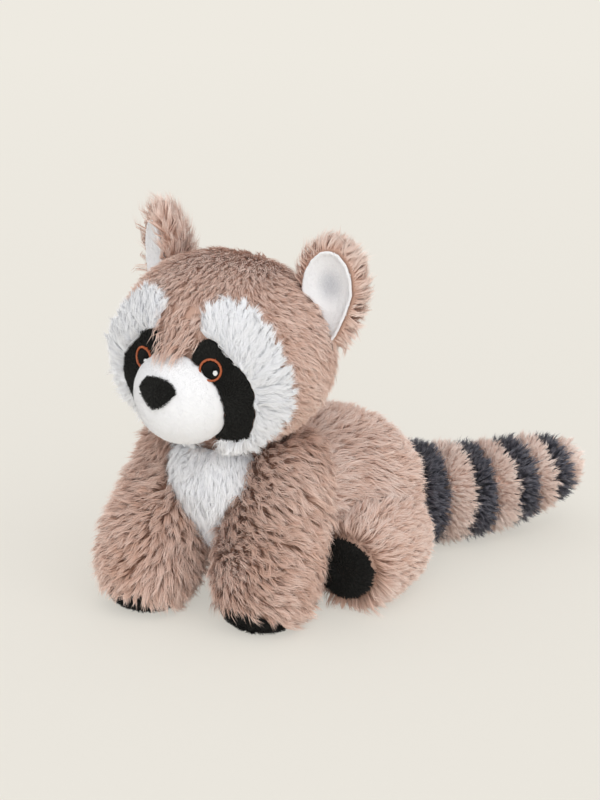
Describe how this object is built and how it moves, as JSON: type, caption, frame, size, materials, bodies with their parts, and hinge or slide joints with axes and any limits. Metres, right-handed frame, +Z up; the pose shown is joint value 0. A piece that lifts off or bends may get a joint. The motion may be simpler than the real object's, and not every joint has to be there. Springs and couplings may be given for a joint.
{
  "type": "plush raccoon",
  "caption": "Sitting plush raccoon with a long-pile coat, black eye masks, white muzzle, cheeks and bib, and a ringed tail lying to one side",
  "frame": {"origin": "centre of the base of the bounding box, on the surface that the raccoon sits on", "axes": "+Z up, the face looks along -Y, the raccoon's own left side is +X, the tail runs back along +Y and swings to +X"},
  "size_m": [0.1594, 0.2826, 0.2069],
  "materials": {
    "taupe_long_pile": "long pile, matt",
    "white_long_pile": "long pile, matt",
    "white_short_pile": "short smooth pile",
    "black_short_pile": "short pile, matt",
    "sole_pile": "short pile, matt",
    "charcoal_long_pile": "long pile, matt",
    "orange_thread": "embroidered, satin",
    "black_thread": "embroidered, satin",
    "white_thread": "embroidered, satin"
  },
  "bodies": {
    "root": {"bib": "white_long_pile", "body": "taupe_long_pile", "cheek_left": "white_long_pile", "cheek_right": "white_long_pile", "ear_left": "taupe_long_pile", "ear_lining_left": "white_short_pile", "ear_lining_right": "white_short_pile", "ear_right": "taupe_long_pile", "eye_light_left": "white_thread", "eye_light_right": "white_thread", "foreleg_left": "taupe_long_pile", "foreleg_right": "taupe_long_pile", "head": "taupe_long_pile", "hindleg_left": "taupe_long_pile", "hindleg_right": "taupe_long_pile", "iris_ring_left": "orange_thread", "iris_ring_right": "orange_thread", "mask_left": "black_short_pile", "mask_right": "black_short_pile", "muzzle": "white_short_pile", "nose": "black_short_pile", "pupil_left": "black_thread", "pupil_right": "black_thread", "sole_fore_left": "sole_pile", "sole_fore_right": "sole_pile", "sole_hind_left": "sole_pile", "sole_hind_right": "sole_pile", "tail_band_dark_1": "charcoal_long_pile", "tail_band_dark_2": "charcoal_long_pile", "tail_band_dark_3": "charcoal_long_pile", "tail_band_dark_4": "charcoal_long_pile", "tail_band_light_1": "taupe_long_pile", "tail_band_light_2": "taupe_long_pile", "tail_band_light_3": "taupe_long_pile", "tail_band_light_4": "taupe_long_pile"}
  },
  "joints": []
}
